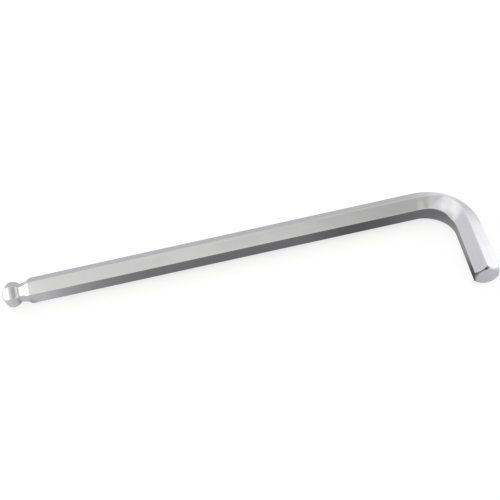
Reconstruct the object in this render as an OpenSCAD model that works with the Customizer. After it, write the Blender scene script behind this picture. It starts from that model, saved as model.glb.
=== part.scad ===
// Hex key bent from one hexagonal bar, lying flat as it rests.
// The long arm runs along X and ends in a ball at the low-X end, the short arm runs towards low Y.
// Two opposite flats face the inside and the outside of the bend, so a row of corners lies lowest.

/* [Bar] */

// width across the flats
flats = 14; // [8:0.5:17]
// how far each corner of the hexagon is rounded down
corner_trim = 0.18; // [0.05:0.01:0.3]
// ball tip to the outer flat of the short arm
long_reach = 291; // [150:1:340]
// end face of the short arm to the outer flat of the long arm
short_reach = 68; // [50:1:90]
// radius of the inner flat round the bend
bend_inside = 19; // [12:1:26]

/* [Ball end] */

// diameter of the flat tip as a share of the flats
tip_share = 0.5; // [0.3:0.02:0.6]
// flat tip to the ball's centre as a share of the flats
tip_to_ball = 0.425; // [0.34:0.005:0.48]
// slope of the bevel round the tip, in degrees from the arm's axis
tip_bevel = 52; // [40:1:60]
// narrowest width of the neck as a share of the flats
neck_share = 0.72; // [0.64:0.02:0.8]
// radius of the neck's hollow as a share of the flats
neck_hollow = 0.75; // [0.6:0.05:0.9]
// ball centre to the narrowest place of the neck as a share of the flats
neck_place_share = 0.38; // [0.34:0.01:0.48]

/* [Short end] */

// diameter of the round end face as a share of the flats
face_share = 0.9; // [0.85:0.005:0.99]
// slope of the bevel, in degrees from the arm's axis
bevel_angle = 52; // [20:1:60]

/* [Hidden] */

// from one pair of flats to the next
face_turn = 360 / 6;

// corners of the hexagon before and after they are rounded down
sharp_corners = flats / cos(30);
corners = sharp_corners - 2 * corner_trim;

// the ball keeps its sharp corners, so it is what the key rests on
axis_z = sharp_corners / 2;
long_y = short_reach / 2 - flats / 2;
short_x = long_reach / 2 - flats / 2;

bend_mid = bend_inside + flats / 2;
bend_x = short_x - bend_mid;
bend_y = long_y - bend_mid;

// places along the long arm, counted from the tip
ball_r = flats / 2;
ball_at = tip_to_ball * flats;
tip_r = tip_share * flats / 2;
neck_at = ball_at + neck_place_share * flats;
neck_half = neck_share * flats / 2;
neck_r = neck_hollow * flats;
neck_starts = ball_at + 0.25 * flats;
arm_length = bend_x + long_reach / 2;

// round blank of the ball, wide enough to clear the ball's corners
blank_r = 0.65 * flats;
tip_cone = (blank_r - tip_r) / tan(tip_bevel);

face_r = face_share * flats / 2;
short_length = short_reach / 2 + bend_y;

// Cross-section of the bar: flats to left and right, corners above and below.
module bar_section() {
    intersection() {
        circle(d = corners, $fn = 96);
        flat_pair(0);
        flat_pair(face_turn);
        flat_pair(2 * face_turn);
    }
}

module flat_pair(turn) {
    rotate(turn) square([flats, 2 * flats], center = true);
}

// Outline of the long arm seen along one pair of its flats: ball, hollow neck, straight bar.
// It runs on past the arm at both ends, where the blank ends it.
module arm_outline() {
    union() {
        translate([ball_at, 0]) circle(r = ball_r, $fn = 120);
        difference() {
            translate([neck_starts, -flats / 2]) square([arm_length, flats]);
            neck_circle(1);
            neck_circle(-1);
        }
    }
}

module neck_circle(side) {
    translate([neck_at, side * (neck_half + neck_r)]) circle(r = neck_r, $fn = 180);
}

// The outline carried straight through the bar, square to one pair of flats.
module outline_across(turn) {
    rotate([turn, 0, 0])
        linear_extrude(height = 2 * flats, center = true) arm_outline();
}

// Turned blank: bevelled tip, clear of the ball's corners, and the bar's rounded corners behind the neck.
module arm_blank() {
    rotate([0, 90, 0]) {
        cylinder(h = tip_cone, r1 = tip_r, r2 = blank_r, $fn = 96);
        translate([0, 0, tip_cone]) cylinder(h = neck_at - tip_cone, r = blank_r, $fn = 96);
        translate([0, 0, arm_length])
            rotate([180, 0, 0])
                cylinder(h = arm_length - neck_starts, d = corners, $fn = 96);
    }
}

// Long arm with its ball: the one outline cut from three sides, one for each pair of flats.
module long_arm() {
    translate([-long_reach / 2, long_y, 0])
        intersection() {
            arm_blank();
            outline_across(0);
            outline_across(face_turn);
            outline_across(2 * face_turn);
        }
}

// Quarter turn that joins the arms, the section swung round the inside of the key.
module bend() {
    translate([bend_x, bend_y, 0])
        rotate_extrude(angle = 90, $fn = 144) translate([bend_mid, 0]) bar_section();
}

// Short arm, bevelled to a round end face.
module short_arm() {
    translate([short_x, bend_y, 0])
        rotate([90, 0, 0])
            intersection() {
                linear_extrude(height = short_length) bar_section();
                cylinder(
                    h = short_length,
                    r1 = face_r + short_length * tan(bevel_angle),
                    r2 = face_r,
                    $fn = 96
                );
            }
}

module hex_key() {
    color([0.76, 0.76, 0.78])
        translate([0, 0, axis_z]) {
            long_arm();
            bend();
            short_arm();
        }
}

hex_key();
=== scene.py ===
"""A ball-end hex key of plated steel, lying flat as it comes to rest on a pale floor.

The bar is built here as one fine mesh over the CAD solid: the same hexagon, ball, neck,
bend and bevels, with the corners softened as plating leaves them and the bend shaped as a
bent bar shows it. Lengths are in metres, and angles given in degrees say so.
"""
import math

import bmesh
import bpy
import numpy as np
from mathutils import Matrix, Vector


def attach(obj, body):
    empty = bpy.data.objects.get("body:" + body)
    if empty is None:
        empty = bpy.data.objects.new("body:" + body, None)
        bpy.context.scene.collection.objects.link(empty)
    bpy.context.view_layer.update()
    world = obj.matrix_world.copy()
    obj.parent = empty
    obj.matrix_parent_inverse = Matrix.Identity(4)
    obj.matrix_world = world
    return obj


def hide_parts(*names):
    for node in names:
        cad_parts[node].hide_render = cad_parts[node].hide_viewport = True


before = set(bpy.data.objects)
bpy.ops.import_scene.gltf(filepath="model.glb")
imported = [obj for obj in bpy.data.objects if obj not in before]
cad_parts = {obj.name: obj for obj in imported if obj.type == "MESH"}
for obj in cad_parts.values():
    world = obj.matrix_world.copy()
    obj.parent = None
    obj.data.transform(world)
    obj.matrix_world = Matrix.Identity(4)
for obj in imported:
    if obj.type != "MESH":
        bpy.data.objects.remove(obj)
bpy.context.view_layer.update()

MM = 0.001

# ---------------------------------------------------------------- sizes of the key

FLATS = 14 * MM
HALF_FLATS = FLATS / 2
SHARP_CORNER = HALF_FLATS / math.cos(math.radians(30))
HALF_FACE = math.pi / 6                         # angle from a flat's middle to its corner
WHOLE_FACE = math.pi / 3
FLAT_END = HALF_FLATS * math.tan(HALF_FACE)     # from a flat's middle to its sharp corner
LONG_REACH = 291 * MM
SHORT_REACH = 68 * MM
BEND_INSIDE = 19 * MM

# the ball end: a tip bevelled on the blank, the ball, and a hollow neck that runs out
TIP_RADIUS = 0.5 * HALF_FLATS
TIP_BEVEL = 52              # degrees off the axis
BALL_AT = 0.425 * FLATS
BLANK_RADIUS = 0.65 * FLATS
NECK_AT = BALL_AT + 0.38 * FLATS
NECK_HALF = 0.72 * HALF_FLATS
NECK_HOLLOW = 0.75 * FLATS
NECK_STARTS = BALL_AT + 0.25 * FLATS
NECK_RUN_OUT = 0.75 * NECK_HOLLOW       # past the neck's middle, where the bar is plain
MILLED_RUN_OUT = 0.5 * FLATS            # over which the crisp milled corners give way

# the short arm's end
FACE_RADIUS = 0.90 * HALF_FLATS
FACE_BEVEL = 52             # degrees off the axis

# where the arms' axes lie
AXIS_Z = SHARP_CORNER
LONG_Y = SHORT_REACH / 2 - HALF_FLATS
SHORT_X = LONG_REACH / 2 - HALF_FLATS
BEND_RADIUS = BEND_INSIDE + HALF_FLATS
BEND_X = SHORT_X - BEND_RADIUS
BEND_Y = LONG_Y - BEND_RADIUS

# lengths along the bar's axis, from the ball's tip
LONG_LENGTH = BEND_X + LONG_REACH / 2
BEND_LENGTH = BEND_RADIUS * math.pi / 2
SHORT_LENGTH = SHORT_REACH / 2 + BEND_Y
BAR_LENGTH = LONG_LENGTH + BEND_LENGTH + SHORT_LENGTH

# softened edges
BAR_CORNER = 0.45 * MM      # radius along the bar's corners
BALL_CORNER = 0.3 * MM      # the ball and neck are milled, so theirs are crisper
BEND_CORNER = 0.7 * MM      # the top and bottom corners spread in the bend
BEVEL_EDGE = 0.06 * MM
NECK_EDGE = 0.7 * MM
RIM_EDGE = 0.08 * MM
CORNER_SHINE = 0.9 * MM     # how far from a corner the plate is clear

# how bending works the section
INNER_SPREAD = 1.0 * MM     # the inner flat grows wider
OUTER_SINK = 0.05 * MM      # the outer flat sinks in its middle
RIDGE_SHIFT = 2.4 * MM      # the top and bottom corners are drawn outwards
BEND_DRIFT = 0.5 * MM       # and so is the whole section, a little
INNER_CROWN = 0.19 * MM     # the faces beside the inner flat swell

# where along the bend that rises, is full, begins to fall and has gone, in degrees
SOFTENED = (-9, 36, 67.5, 94.5)     # the spread corners and the sunk outer flat
PRESSED = (0, 35, 46, 72)           # the wider inner flat and the drift
DRAWN_OUT = (10, 40, 52, 88)        # the shifted corners and the swollen faces

# the sine of a direction where the top or bottom corner begins, and over how much it fills
TOP_STARTS, TOP_SPAN = 0.75, 0.15

# how finely the mesh is laid
CORNER_STEPS = 13           # from a flat's middle to its corner
CORNER_CROWDING = 1.7       # 1 lays them evenly, and more crowds them at the corner
END_RINGS = (0.02, 0.3, 0.6, 0.85)      # rings of a flat end, as shares of its radius
BEND_RUN_OUT = 7 * MM       # how far the bend's close sections run into the arms
STATIONS = (
    # (from this length along the bar, about one section every so much)
    (0, 0.1 * MM),                                          # the tip's bevel
    (4.2 * MM, 0.25 * MM),                                  # the ball
    (NECK_STARTS, 0.14 * MM),                               # the neck and its shoulder
    (NECK_AT + 0.55 * FLATS, 0.6 * MM),                     # where the corners settle
    (28 * MM, 6 * MM),                                      # the long arm
    (LONG_LENGTH - BEND_RUN_OUT, 0.7 * MM),                 # the bend
    (LONG_LENGTH + BEND_LENGTH + BEND_RUN_OUT, 2.5 * MM),   # the short arm
    (BAR_LENGTH - 2 * MM, 0.08 * MM),                       # its bevel
    (BAR_LENGTH - 0.3 * MM, 0.04 * MM),                     # the bevel's rim
)

# a face this near an end, and turned this squarely to the axis, belongs to the flat end
TIP_FACE_WITHIN = 0.5 * MM
SHORT_FACE_WITHIN = 0.01 * MM
SQUARE_ENOUGH = 0.985       # cosine


# ---------------------------------------------------------------- shape of the bar

def soft_min(a, b, width):
    """The smaller of two lengths, with the corner between them rounded over a width."""
    h = np.maximum(width - np.abs(a - b), 0) / width
    return np.minimum(a, b) - h * h * width / 4


def soft_max(a, b, width):
    """The larger of two lengths, rounded in the same way."""
    return -soft_min(-a, -b, width)


def smooth_step(x):
    """A smooth rise from 0 to 1 as x goes from 0 to 1."""
    x = np.clip(x, 0, 1)
    return x * x * (3 - 2 * x)


def swell(along, rises, full, falls, gone):
    """A smooth swell from 0 to 1 and back, by four angles along the bend in degrees."""
    angle = 90 * (along - LONG_LENGTH) / BEND_LENGTH
    return float(smooth_step((angle - rises) / (full - rises))
                 * smooth_step((gone - angle) / (gone - falls)))


def half_width(along):
    """Half the width across the flats at a place along the bar: ball, hollow neck, bar."""
    ball = np.sqrt(max(HALF_FLATS ** 2 - (along - BALL_AT) ** 2, 0))
    if along < NECK_STARTS:
        return ball
    past_neck = along - NECK_AT
    if past_neck > NECK_RUN_OUT:
        return HALF_FLATS
    hollow = NECK_HALF + NECK_HOLLOW - math.sqrt(NECK_HOLLOW ** 2 - past_neck ** 2)
    bar = soft_min(hollow, HALF_FLATS, NECK_EDGE)
    return bar if past_neck > 0 else soft_max(ball, bar, NECK_EDGE / 2)


def angle_off_corner(turn):
    """The angle between a direction across the section and the nearest corner."""
    return np.abs((turn % WHOLE_FACE) - HALF_FACE)


def hexagon_reach(turn, half, corner):
    """Distance from the axis to a hexagon with rounded corners, by angle from one flat."""
    off_corner = angle_off_corner(turn)
    across = half / np.cos(HALF_FACE - off_corner)
    centre = (half - corner) / math.cos(HALF_FACE)
    tangent = math.atan2((half - corner) * math.tan(HALF_FACE), half)
    inside = np.maximum(corner ** 2 - (centre * np.sin(off_corner)) ** 2, 0)
    rounded = centre * np.cos(off_corner) + np.sqrt(inside)
    return np.where(off_corner < HALF_FACE - tangent, rounded, across)


def turned_reach(along):
    """Radius of the turned blank at the two ends, which cuts the corners of the hexagon."""
    tip = TIP_RADIUS + along * math.tan(math.radians(TIP_BEVEL))
    face = FACE_RADIUS + (BAR_LENGTH - along) * math.tan(math.radians(FACE_BEVEL))
    return min(tip, face, BLANK_RADIUS)


def work_section(along, softened, out, up):
    """The section's points, moved as bending moves them."""
    pressed, drawn_out = swell(along, *PRESSED), swell(along, *DRAWN_OUT)
    side = out / HALF_FLATS
    inner_share = np.clip(-side, 0, 1) * np.minimum(np.abs(up) / FLAT_END, 1)
    # 0 along the upright flats, and 1 at the top and bottom corners
    lift = np.clip((np.abs(up) - FLAT_END) / (SHARP_CORNER - FLAT_END), 0, 1)
    # 0 at both edges of a face beside the inner flat, and 1 a third of the way up
    crown = 27 / 4 * lift * (1 - lift) ** 2 * (side < 0)
    up = up + np.sign(up) * (INNER_SPREAD * pressed * inner_share
                             + INNER_CROWN * drawn_out * crown)
    out = out - OUTER_SINK * softened * np.clip(side, 0, 1) ** 2
    out = out + BEND_DRIFT * pressed + RIDGE_SHIFT * drawn_out * lift
    return out, up


def section(along, turns, shrink=1.0):
    """Points of the section as (out, up) from the axis, and how near each is to a corner."""
    half = half_width(along)
    milled = 1 - smooth_step((along - NECK_AT) / MILLED_RUN_OUT)
    reach = hexagon_reach(turns, half, BAR_CORNER + (BALL_CORNER - BAR_CORNER) * milled)
    softened = swell(along, *SOFTENED)
    if softened > 0:
        soft = hexagon_reach(turns, half, BAR_CORNER + (BEND_CORNER - BAR_CORNER) * softened)
        top_share = smooth_step((np.abs(np.sin(turns)) - TOP_STARTS) / TOP_SPAN)
        reach = reach + (soft - reach) * top_share
    reach = soft_min(reach, np.full_like(reach, turned_reach(along)), BEVEL_EDGE) * shrink
    out, up = work_section(along, softened, reach * np.cos(turns), reach * np.sin(turns))
    nearness = np.exp(-(angle_off_corner(turns) * half / CORNER_SHINE) ** 2)
    return out, up, nearness


def section_turns():
    """Angles round the section: close together at the corners, wide apart on the flats."""
    half = [HALF_FACE * (k / CORNER_STEPS) ** CORNER_CROWDING for k in range(CORNER_STEPS + 1)]
    turns = []
    for corner in range(6):
        middle = HALF_FACE + corner * WHOLE_FACE
        turns += [middle - a for a in reversed(half[1:])] + [middle + a for a in half[:-1]]
    return np.array(sorted(turns))


def place(along):
    """The axis point at a length along the bar, and the outward direction there."""
    if along <= LONG_LENGTH:
        return Vector((along - LONG_REACH / 2, LONG_Y, AXIS_Z)), Vector((0, 1, 0))
    turned = (along - LONG_LENGTH) / BEND_RADIUS
    if turned < math.pi / 2:
        out = Vector((math.sin(turned), math.cos(turned), 0))
        return Vector((BEND_X, BEND_Y, AXIS_Z)) + out * BEND_RADIUS, out
    rest = along - LONG_LENGTH - BEND_LENGTH
    return Vector((SHORT_X, BEND_Y - rest, AXIS_Z)), Vector((1, 0, 0))


def bar_stations():
    """Lengths along the bar where a section is laid: close where the form turns quickly."""
    ends = [start for start, step in STATIONS[1:]] + [BAR_LENGTH]
    laid = []
    for (start, step), end in zip(STATIONS, ends):
        count = max(1, round((end - start) / step))
        laid += [start + (end - start) * k / count for k in range(count)]
    return laid + [BAR_LENGTH]


def end_rings(radius):
    """Rings of a flat end from its middle to its rim, as shares of its radius."""
    return [*END_RINGS, 1 - RIM_EDGE / radius]


def on_flat_end(face, along):
    """Whether a face belongs to one of the two flat ends, which are turned, not drawn."""
    if TIP_FACE_WITHIN <= along <= BAR_LENGTH - SHORT_FACE_WITHIN:
        return False
    axis = place(along)[1].cross(Vector((0, 0, 1)))
    return abs(face.normal.dot(axis)) > SQUARE_ENOUGH


def add_object(name, mesh):
    """A mesh put into the scene as an object."""
    data = bpy.data.meshes.new(name)
    mesh.to_mesh(data)
    mesh.free()
    piece = bpy.data.objects.new(name, data)
    bpy.context.scene.collection.objects.link(piece)
    return piece


def build_bar(name):
    """The whole key as one closed mesh, with its place along and round the bar stored on it.

    The drawn faces have the first material, and those of the two flat ends the second.
    """
    turns = section_turns()
    mesh = bmesh.new()
    place_layer = mesh.verts.layers.float_vector.new("bar_place")
    corner_layer = mesh.verts.layers.float.new("corner")

    def add_ring(along, shrink=1.0):
        centre, outward = place(along)
        ring = []
        for out, up, nearness, turn in zip(*section(along, turns, shrink), turns):
            vertex = mesh.verts.new(centre + outward * float(out) + Vector((0, 0, float(up))))
            vertex[place_layer] = (along, float(turn) * HALF_FLATS, math.hypot(out, up))
            vertex[corner_layer] = float(nearness)
            ring.append(vertex)
        return ring

    rings = [add_ring(0.0, share) for share in end_rings(TIP_RADIUS)]
    rings += [add_ring(along) for along in bar_stations()]
    rings += [add_ring(BAR_LENGTH, share) for share in reversed(end_rings(FACE_RADIUS))]

    neighbours = [(k, (k + 1) % len(turns)) for k in range(len(turns))]
    for near, far in zip(rings, rings[1:]):
        for k, n in neighbours:
            mesh.faces.new((near[k], near[n], far[n], far[k]))
    for ring, along in ((rings[0], 0.0), (rings[-1], BAR_LENGTH)):
        middle = mesh.verts.new(place(along)[0])
        middle[place_layer] = (along, 0, 0)
        for k, n in neighbours:
            mesh.faces.new((middle, ring[k], ring[n]))
    bmesh.ops.recalc_face_normals(mesh, faces=mesh.faces[:])

    for face in mesh.faces:
        face.smooth = True
        along = sum(v[place_layer][0] for v in face.verts) / len(face.verts)
        face.material_index = int(on_flat_end(face, along))
    return add_object(name, mesh)


# ---------------------------------------------------------------- shader helpers

FLOAT, VECTOR, COLOUR = "NodeSocketFloat", "NodeSocketVector", "NodeSocketColor"


def feed(tree, socket, value):
    """Give a socket its value, or link it where the value is another node's output."""
    if isinstance(value, bpy.types.NodeSocket):
        tree.links.new(value, socket)
    else:
        socket.default_value = value


def add_node(tree, kind, **values):
    """A node of a kind, with its plain settings and what feeds its sockets."""
    node = tree.nodes.new(kind)
    for key, value in values.items():
        if hasattr(node, key):
            setattr(node, key, value)
        else:
            feed(tree, node.inputs[key.replace("_", " ")], value)
    return node


def calculate(tree, operation, *values):
    """What a Math node makes of numbers or outputs."""
    node = add_node(tree, "ShaderNodeMath", operation=operation)
    for socket, value in zip(node.inputs, values):
        feed(tree, socket, value)
    return node.outputs[0]


def calculate_all(tree, operation, total, *values):
    """One Math operation carried on over several values in turn."""
    for value in values:
        total = calculate(tree, operation, total, value)
    return total


def ramp(tree, value, low, high, start=0.0, end=1.0, bends="SMOOTHSTEP"):
    """A change from start to end as a value goes from low to high."""
    node = add_node(tree, "ShaderNodeMapRange", interpolation_type=bends, Value=value,
                    From_Min=low, From_Max=high, To_Min=start, To_Max=end)
    return node.outputs[0]


def mix(tree, share, first, second):
    """Two numbers mixed by a share."""
    node = add_node(tree, "ShaderNodeMix", data_type="FLOAT")
    for k, value in ((0, share), (2, first), (3, second)):
        feed(tree, node.inputs[k], value)
    return node.outputs[0]


def mix_colours(tree, share, first, second):
    """Two colours mixed by a share."""
    node = add_node(tree, "ShaderNodeMix", data_type="RGBA")
    for k, value in ((0, share), (6, first), (7, second)):
        feed(tree, node.inputs[k], value)
    return node.outputs[2]


def new_group(name, inputs, outputs):
    """A shader node group with named sockets, and the sockets to read and to feed in it."""
    group = bpy.data.node_groups.new(name, "ShaderNodeTree")
    for in_out, sockets in (("INPUT", inputs), ("OUTPUT", outputs)):
        for title, kind in sockets.items():
            group.interface.new_socket(title, in_out=in_out, socket_type=kind)
    entry = group.nodes.new("NodeGroupInput")
    leave = group.nodes.new("NodeGroupOutput")
    return group, entry.outputs, leave.inputs


def place_group(tree, group, **values):
    """A node group placed in a tree with its own values, and its outputs."""
    return add_node(tree, "ShaderNodeGroup", node_tree=group, **values).outputs


def cleared_tree(block):
    """The empty node tree of a material or a world."""
    block.use_nodes = True
    block.node_tree.nodes.clear()
    return block.node_tree


# ---------------------------------------------------------------- finish of plated steel

PLAIN_PLATE = (0.76, 0.76, 0.77, 1)
HAZY_PLATE = (0.70, 0.70, 0.715, 1)
CLOUD_SIZE = 30 * MM
CLOUD_RANGE = (0.35, 0.68)      # of the noise, over which the plate turns hazy
BAND_SHARE = 0.35               # how much of the haze follows the tool's broad bands
BAND_SCALE = 0.13               # of the broad bands, where that of the fine lines is 1
LINE_SHARE = 0.4                # how much of the roughness follows the fine lines
RIPPLE_SCALE = 90.0             # the slight waves of a drawn bar, to the metre
RIPPLE_DEPTH = 0.06 * MM

# what each tool leaves: how long, wide and deep its lines are, and how rough the plate is
# over them, from where it is clear to where it is hazy
DRAWN = {"length": 22 * MM, "width": 0.22 * MM, "depth": 0.002 * MM, "rough": (0.11, 0.21)}
TURNED = {"length": 8 * MM, "width": 0.16 * MM, "depth": 0.003 * MM, "rough": (0.20, 0.34)}


def tool_lines_group():
    """Fine lines that a die or a lathe leaves, long one way and narrow the other."""
    group, entry, leave = new_group(
        "tool lines",
        {"Place": VECTOR, "Length": FLOAT, "Width": FLOAT},
        {"Lines": FLOAT, "Bands": FLOAT},
    )
    split = add_node(group, "ShaderNodeSeparateXYZ", Vector=entry["Place"]).outputs
    drawn = add_node(
        group, "ShaderNodeCombineXYZ",
        X=calculate(group, "DIVIDE", split["X"], entry["Length"]),
        Y=calculate(group, "DIVIDE", split["Y"], entry["Width"]),
    ).outputs["Vector"]
    fine = add_node(group, "ShaderNodeTexNoise", noise_dimensions="2D",
                    Vector=drawn, Scale=1.0, Detail=2.0)
    broad = add_node(group, "ShaderNodeTexNoise", noise_dimensions="2D",
                     Vector=drawn, Scale=BAND_SCALE, Detail=1.0)
    feed(group, leave["Lines"], fine.outputs[0])
    feed(group, leave["Bands"], broad.outputs[0])
    return group


def plate_tone_group():
    """Slow change of the plate's colour and haze over the key, and its clearer corners."""
    group, entry, leave = new_group(
        "plate tone",
        {"Plain": COLOUR, "Hazy": COLOUR, "Bands": FLOAT, "Corner": FLOAT, "Cloud Size": FLOAT},
        {"Colour": COLOUR, "Haze": FLOAT},
    )
    coordinates = add_node(group, "ShaderNodeTexCoord").outputs
    cloud = add_node(
        group, "ShaderNodeTexNoise", Vector=coordinates["Object"], Detail=3.0, Roughness=0.55,
        Scale=calculate(group, "DIVIDE", 1.0, entry["Cloud Size"]),
    )
    clouded = ramp(group, cloud.outputs[0], *CLOUD_RANGE, bends="LINEAR")
    banded = mix(group, BAND_SHARE, clouded, entry["Bands"])
    off_corner = calculate(group, "SUBTRACT", 1.0, entry["Corner"])
    haze = calculate(group, "MULTIPLY", banded, off_corner)
    feed(group, leave["Colour"], mix_colours(group, haze, entry["Plain"], entry["Hazy"]))
    feed(group, leave["Haze"], haze)
    return group


def round_axis(tree, bar_place):
    """The place for turned lines: long round the arc, and narrow along the radius."""
    split = add_node(tree, "ShaderNodeSeparateXYZ", Vector=bar_place).outputs
    swapped = add_node(tree, "ShaderNodeCombineXYZ", X=split["Y"], Y=split["Z"])
    return swapped.outputs["Vector"]


def steel_material(name, lines, tone, finish, turned):
    """Plated steel: a metal shader with its tone, roughness and relief from the groups."""
    material = bpy.data.materials.new(name)
    tree = cleared_tree(material)
    bar_place = add_node(tree, "ShaderNodeAttribute", attribute_name="bar_place")
    bar_place = bar_place.outputs["Vector"]
    corner = add_node(tree, "ShaderNodeAttribute", attribute_name="corner")
    tooled = place_group(
        tree, lines, Place=round_axis(tree, bar_place) if turned else bar_place,
        Length=finish["length"], Width=finish["width"],
    )
    toned = place_group(
        tree, tone, Plain=PLAIN_PLATE, Hazy=HAZY_PLATE, Cloud_Size=CLOUD_SIZE,
        Bands=tooled["Bands"], Corner=corner.outputs["Fac"],
    )
    roughness = mix(tree, LINE_SHARE, toned["Haze"], tooled["Lines"])

    coordinates = add_node(tree, "ShaderNodeTexCoord").outputs
    wave = add_node(tree, "ShaderNodeTexNoise",
                    Vector=coordinates["Object"], Scale=RIPPLE_SCALE, Detail=1.0)
    ripple = add_node(tree, "ShaderNodeBump", Strength=1.0, Distance=RIPPLE_DEPTH,
                      Height=wave.outputs[0])
    relief = add_node(tree, "ShaderNodeBump", Strength=1.0, Distance=finish["depth"],
                      Height=tooled["Lines"], Normal=ripple.outputs[0])
    shader = add_node(
        tree, "ShaderNodeBsdfPrincipled", Metallic=1.0, Base_Color=toned["Colour"],
        Roughness=ramp(tree, roughness, 0.0, 1.0, *finish["rough"], bends="LINEAR"),
        Normal=relief.outputs[0],
    )
    add_node(tree, "ShaderNodeOutputMaterial", Surface=shader.outputs[0])
    return material


# ---------------------------------------------------------------- floor

FLOOR_SIZE = 6.0
FLOOR_SHADE = 0.45      # how much of the floor's white is lit by the sky
FLOOR_GLOW = 0.70
SHEET_SQUARES = 4       # along each side of a level sheet


def floor_material():
    """Pale floor: part of its white is plain, and the rest is lit, so the shadow stays."""
    material = bpy.data.materials.new("pale_floor")
    tree = cleared_tree(material)
    rays = add_node(tree, "ShaderNodeLightPath").outputs
    seen = calculate_all(tree, "MAXIMUM", rays["Is Camera Ray"], rays["Is Glossy Ray"],
                         rays["Is Transmission Ray"])
    glow = add_node(tree, "ShaderNodeEmission",
                    Strength=calculate(tree, "MULTIPLY", seen, FLOOR_GLOW))
    lit = add_node(tree, "ShaderNodeBsdfDiffuse",
                   Color=(FLOOR_SHADE, FLOOR_SHADE, FLOOR_SHADE, 1))
    both = add_node(tree, "ShaderNodeAddShader")
    feed(tree, both.inputs[0], lit.outputs[0])
    feed(tree, both.inputs[1], glow.outputs[0])
    add_node(tree, "ShaderNodeOutputMaterial", Surface=both.outputs[0])
    return material


def level_sheet(name, height, size):
    """A level square of mesh over the origin, cut into smaller squares."""
    mesh = bmesh.new()
    bmesh.ops.create_grid(
        mesh, x_segments=SHEET_SQUARES, y_segments=SHEET_SQUARES, size=size / 2,
        matrix=Matrix.Translation((0, 0, height)),
    )
    return add_object(name, mesh)


def make_floor():
    """The pale floor that the key lies on."""
    floor = level_sheet("floor", 0, FLOOR_SIZE)
    floor.data.materials.append(floor_material())


# ---------------------------------------------------------------- light

BASE_SKY = 0.10
SOFT_BOXES = {
    # name: (aim, full within, gone beyond, level), angles in degrees
    "left": ((-0.77, -0.60, 0.22), 42, 54, 1.02),
    "overhead": ((-0.04, -0.74, 0.67), 45, 55, 0.43),
    "overhead_left": ((-0.23, -0.61, 0.76), 21, 27, 0.31),
    "right": ((0.99, -0.09, 0.11), 37, 45, 0.82),
    "back_left": ((-0.77, 0.64, 0.00), 45, 65, 0.67),
    "back": ((0.56, 0.79, 0.25), 4, 45, 1.01),
    "back_overhead": ((0.11, 0.45, 0.89), 12, 42, 0.71),
    "bend_light": ((-0.38, 0.21, 0.90), 4, 23, 0.74),
    "front_right": ((0.68, -0.73, 0.07), 16, 37, 0.67),
}
# the camera's side of the room is dark: this takes its share away from the boxes' light
FRONT_SHADE = ((-0.30, -0.92, 0.25), 20, 56, 0.85)

# the light is a little warm at the front of the room and cool at the back
FRONT_TINT = (1.0, 1.0, 0.965, 1)
BACK_TINT = (1.0, 1.0, 1.02, 1)
TINT_TURNS = (-0.3, 0.5)        # from front to back, as -1 to 1
WHITE = (1, 1, 1, 1)


def soft_box_group():
    """Level of one soft light in the sky: full near its aim, fading towards its edge."""
    group, entry, leave = new_group(
        "soft box",
        {"Direction": VECTOR, "Aim": VECTOR, "Full Within": FLOAT, "Gone Beyond": FLOAT,
         "Level": FLOAT},
        {"Level": FLOAT},
    )
    aim = add_node(group, "ShaderNodeVectorMath", operation="NORMALIZE", Vector=entry["Aim"])
    facing = add_node(group, "ShaderNodeVectorMath", operation="DOT_PRODUCT")
    feed(group, facing.inputs[0], entry["Direction"])
    feed(group, facing.inputs[1], aim.outputs["Vector"])
    angle = calculate(group, "ARCCOSINE", facing.outputs["Value"])
    level = ramp(group, angle, entry["Full Within"], entry["Gone Beyond"], entry["Level"], 0.0)
    feed(group, leave["Level"], level)
    return group


def place_soft_box(tree, group, direction, aim, full, gone, level):
    """One soft box in the sky, by its row of the list."""
    return place_group(
        tree, group, Direction=direction, Aim=aim, Full_Within=math.radians(full),
        Gone_Beyond=math.radians(gone), Level=level,
    )["Level"]


def make_sky():
    """Soft studio light as a sky of soft boxes. The camera sees plain white instead."""
    world = bpy.data.worlds.new("studio_sky")
    bpy.context.scene.world = world
    tree = cleared_tree(world)
    direction = add_node(tree, "ShaderNodeTexCoord").outputs["Generated"]
    group = soft_box_group()
    boxes = [place_soft_box(tree, group, direction, *box) for box in SOFT_BOXES.values()]
    shade = place_soft_box(tree, group, direction, *FRONT_SHADE)
    light = calculate(
        tree, "MULTIPLY", calculate_all(tree, "ADD", BASE_SKY, *boxes),
        calculate(tree, "SUBTRACT", 1.0, shade),
    )
    split = add_node(tree, "ShaderNodeSeparateXYZ", Vector=direction).outputs
    tint = mix_colours(tree, ramp(tree, split["Y"], *TINT_TURNS), FRONT_TINT, BACK_TINT)
    to_camera = add_node(tree, "ShaderNodeLightPath").outputs["Is Camera Ray"]
    background = add_node(
        tree, "ShaderNodeBackground", Color=mix_colours(tree, to_camera, tint, WHITE),
        Strength=mix(tree, to_camera, light, 1.0),
    )
    add_node(tree, "ShaderNodeOutputWorld", Surface=background.outputs[0])


# ---------------------------------------------------------------- what the flats mirror: a painted reflection, with painted light and shade

SHEET_SIZE = 1.6
SHEET_HEIGHT = 0.2 * MM
SHEET_TINT = (0.995, 1.0, 1.02, 1)
PAINTED_REFLECTION_GREY = 0.60           # painted reflection: the glowing grey that the plated steel shows as the table round the key
PAINTED_SHADE_INSIDE_L = 0.19          # painted shade: what it shows inside the L, where the key shades the table
# the deepest painted shade, inside the bend
DARKEST_PAINTED_SHADE = 0.12

# the painted shade inside the L, a dark patch that stands for the key's shadow on the table,
# begins here, from the ball's end, and deepens over a length
PAINTED_SHADE_LEFT, PAINTED_SHADE_DEEPENS = -0.122, 0.026
# its right edge runs back from the short arm's inner side: in front of here it leans to the
# left, by this much at most
LEAN_FROM, LEAN_MOST = -0.030, 0.012
PAINTED_SHADE_RIGHT = (0.130, 0.138, 1.0, 0.0)
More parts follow.
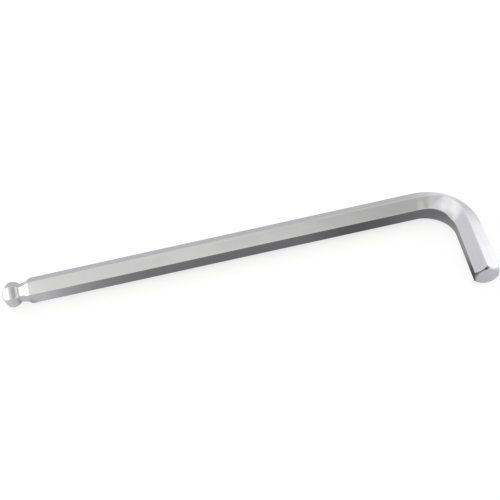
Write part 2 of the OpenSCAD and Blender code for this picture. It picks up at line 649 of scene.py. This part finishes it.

# soft changes of painted light and shade over the sheet: (axis, from here, to here, from this,
# to this)
SHEET_CHANGES = {
    "painted_shade_front": ("Y", -0.530, -0.470, 0.0, 1.0),
    "painted_shade_back": ("Y", 0.030, 0.034, 1.0, 0.0),
    "far_right": ("X", 0.125, 0.200, 0.0, 0.30),
    "behind_right": ("X", 0.115, 0.150, 0.0, 0.14),
    "before_back": ("Y", 0.030, 0.045, 1.0, 0.0),
    "far_left": ("X", -0.160, -0.130, 0.45, 0.0),
    "beside_ball": ("Y", 0.045, 0.065, 1.0, 0.0),
    "past_ball": ("Y", 0.020, 0.032, 0.40, 1.0),
    "by_short_arm": ("X", 0.116, 0.130, 0.0, 0.14),
    "by_bend": ("Y", -0.024, -0.008, 0.0, 1.0),
}
SHEET_SPOTS = {
    # name: (middle, radius, change of grey at the middle); a rise is painted light, a fall
    # painted shade, as by_ball is the ball's painted contact shadow
    "behind_bend": ((0.133, 0.055, 0), 0.036, 0.17),
    "by_end_face": ((0.129, -0.028, 0), 0.020, -0.10),
    "by_ball": ((-0.1305, 0.0185, 0), 0.0065, -0.28),
    "inside_bend": ((0.078, 0.012, 0), 0.042, DARKEST_PAINTED_SHADE - PAINTED_SHADE_INSIDE_L),
}


def sheet_spot(tree, where, middle, radius, change):
    """A spot of painted light or painted shade: a change of grey that fades from the middle of
    a spot to its rim.
    """
    away = add_node(tree, "ShaderNodeVectorMath", operation="DISTANCE")
    feed(tree, away.inputs[0], where)
    feed(tree, away.inputs[1], middle)
    return ramp(tree, away.outputs["Value"], 0.0, radius, change, 0.0)


def painted_shade_inside_l(tree, split, changes):
    """How far a place on the sheet is inside the painted shade of the L: 1 inside, and 0 off
    it.
    """
    past_left = calculate(tree, "SUBTRACT", split["X"], PAINTED_SHADE_LEFT)
    past_left = calculate(tree, "MAXIMUM", past_left, 0.0)
    light_left = calculate(tree, "EXPONENT",
                           calculate(tree, "DIVIDE", past_left, -PAINTED_SHADE_DEEPENS))
    from_left = calculate(tree, "SUBTRACT", 1.0, light_left)
    lean = calculate(tree, "SUBTRACT", LEAN_FROM, split["Y"])
    lean = calculate(tree, "MAXIMUM", lean, 0.0)
    lean = calculate(tree, "MINIMUM", lean, LEAN_MOST)
    to_right = ramp(tree, calculate(tree, "ADD", lean, split["X"]), *PAINTED_SHADE_RIGHT)
    return calculate_all(tree, "MULTIPLY", from_left, to_right,
                         changes["painted_shade_front"], changes["painted_shade_back"])


def painted_reflection_material():
    """Painted reflection: a glowing grey sheet that only reflections see, with painted shade
    inside the bend of the key and painted light and shade round it.
    """
    material = bpy.data.materials.new("painted_reflection_sheet")
    tree = cleared_tree(material)
    where = add_node(tree, "ShaderNodeTexCoord").outputs["Object"]
    split = add_node(tree, "ShaderNodeSeparateXYZ", Vector=where).outputs
    changes = {
        name: ramp(tree, split[axis], *change)
        for name, (axis, *change) in SHEET_CHANGES.items()
    }
    # dark: how deep the painted shadow of the key is here
    dark = painted_shade_inside_l(tree, split, changes)
    at_back = calculate(tree, "SUBTRACT", 1.0, changes["before_back"])
    # the tone: painted reflection grey, deepened by painted shade and raised by painted light
    tone = calculate_all(
        tree, "ADD",
        ramp(tree, dark, 0.0, 1.0, PAINTED_REFLECTION_GREY, PAINTED_SHADE_INSIDE_L, bends="LINEAR"),
        calculate(tree, "MULTIPLY", changes["far_right"], changes["before_back"]),
        calculate(tree, "MULTIPLY", changes["behind_right"], at_back),
        calculate_all(tree, "MULTIPLY", changes["far_left"], changes["beside_ball"],
                      changes["past_ball"]),
        calculate_all(tree, "MULTIPLY", changes["by_short_arm"], changes["by_bend"], dark),
        *[sheet_spot(tree, where, *spot) for spot in SHEET_SPOTS.values()],
    )
    # the sheet glows with this painted reflection; it is no lamp
    glow = add_node(tree, "ShaderNodeEmission", Color=SHEET_TINT, Strength=tone)
    add_node(tree, "ShaderNodeOutputMaterial", Surface=glow.outputs[0])
    return material


def make_painted_reflection_sheet():
    """The painted reflection sheet lies just over the floor, seen only by reflections, glowing
    with painted table grey, painted shade and painted light.
    """
    sheet = level_sheet("painted_reflection_sheet", SHEET_HEIGHT, SHEET_SIZE)
    sheet.data.materials.append(painted_reflection_material())
    sheet.visible_camera = False
    sheet.visible_diffuse = False
    sheet.visible_shadow = False
    sheet.visible_transmission = False


# ---------------------------------------------------------------- camera

# where the photograph was taken from: angles in degrees, and the picture's centre set by
# the outer corner of the key, the point where the two arms' axes would meet
VIEW_AZIMUTH = 3.328
VIEW_ELEVATION = 50.986
VIEW_ROLL = -14.955
PICTURE_SIZE = 500                  # pixels
CORNER_RIGHT_OF_MIDDLE = 205.198    # pixels
CORNER_ABOVE_MIDDLE = 53.202        # pixels
CORNER_DEPTH = 37.56 * FLATS
FOCAL_PIXELS = 866.77
HALF_PIXEL = 0.5 / PICTURE_SIZE     # the pixels' middles lie this far off the photo's corner
SENSOR_WIDTH = 36                   # millimetres
NEAREST, FARTHEST = 0.01, 50


def make_camera():
    """The camera that sees the key as the photograph does."""
    azimuth, elevation, roll = (
        math.radians(a) for a in (VIEW_AZIMUTH, VIEW_ELEVATION, VIEW_ROLL)
    )
    back = Vector((
        math.sin(azimuth) * math.cos(elevation),
        -math.cos(azimuth) * math.cos(elevation),
        math.sin(elevation),
    ))
    level = (-back).cross(Vector((0, 0, 1))).normalized()
    upright = level.cross(-back)
    right = math.cos(roll) * level + math.sin(roll) * upright
    up = -math.sin(roll) * level + math.cos(roll) * upright
    per_pixel = CORNER_DEPTH / FOCAL_PIXELS
    corner = Vector((SHORT_X, LONG_Y, AXIS_Z))
    spot = (corner + back * CORNER_DEPTH
            - right * (CORNER_RIGHT_OF_MIDDLE * per_pixel)
            - up * (CORNER_ABOVE_MIDDLE * per_pixel))

    data = bpy.data.cameras.new("camera")
    data.sensor_width = SENSOR_WIDTH
    data.lens = SENSOR_WIDTH * FOCAL_PIXELS / PICTURE_SIZE
    data.clip_start, data.clip_end = NEAREST, FARTHEST
    data.dof.use_dof = False
    data.shift_x, data.shift_y = -HALF_PIXEL, HALF_PIXEL
    camera = bpy.data.objects.new("camera", data)
    turn = Matrix((right, up, back)).transposed().to_4x4()
    camera.matrix_world = Matrix.Translation(spot) @ turn
    bpy.context.scene.collection.objects.link(camera)
    bpy.context.scene.camera = camera


# ---------------------------------------------------------------- the scene

def make_key():
    """The plated key, in place of the CAD solid."""
    key = build_bar("plated_hex_bar")
    lines, tone = tool_lines_group(), plate_tone_group()
    key.data.materials.append(steel_material("drawn_plate", lines, tone, DRAWN, turned=False))
    key.data.materials.append(steel_material("turned_plate", lines, tone, TURNED, turned=True))
    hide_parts("hex_key")
    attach(key, "root")


make_camera()
make_key()
make_floor()
make_painted_reflection_sheet()
make_sky()
bpy.context.scene.view_settings.view_transform = "Standard"
